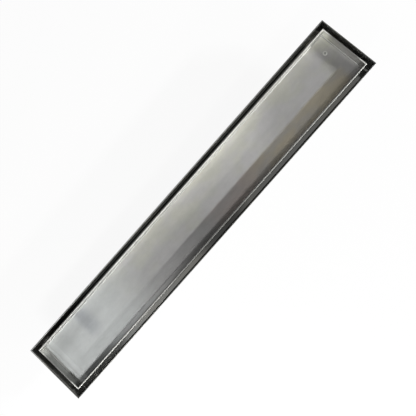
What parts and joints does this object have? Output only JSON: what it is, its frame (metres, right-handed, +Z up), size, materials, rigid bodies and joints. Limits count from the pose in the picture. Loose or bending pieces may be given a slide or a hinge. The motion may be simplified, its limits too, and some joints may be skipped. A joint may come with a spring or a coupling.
{
  "type": "linear shower drain",
  "caption": "Long narrow stainless floor drain with a shallow recessed tray for a cut tile, a water slot all round the tray and a round spigot outlet below.",
  "frame": {"origin": "middle of the outlet spigot's lower end, under the middle of the trough", "axes": "+X along the drain, +Y across it, +Z up out of the floor"},
  "size_m": [0.6, 0.093, 0.0595],
  "materials": {
    "trough_sheet": "lengthwise brushed stainless sheet",
    "spigot_tube": "drawn stainless tube",
    "tray_sheet": "lengthwise brushed stainless sheet",
    "foot_sheet": "mill finish stainless strip",
    "strainer_sheet": "satin stainless pressing"
  },
  "bodies": {
    "root": {"channel_trough": "trough_sheet", "outlet_spigot": "spigot_tube", "tile_tray": "tray_sheet", "tray_foot_1": "foot_sheet", "tray_foot_2": "foot_sheet", "tray_foot_3": "foot_sheet", "tray_foot_4": "foot_sheet", "hair_strainer": "strainer_sheet"}
  },
  "joints": []
}
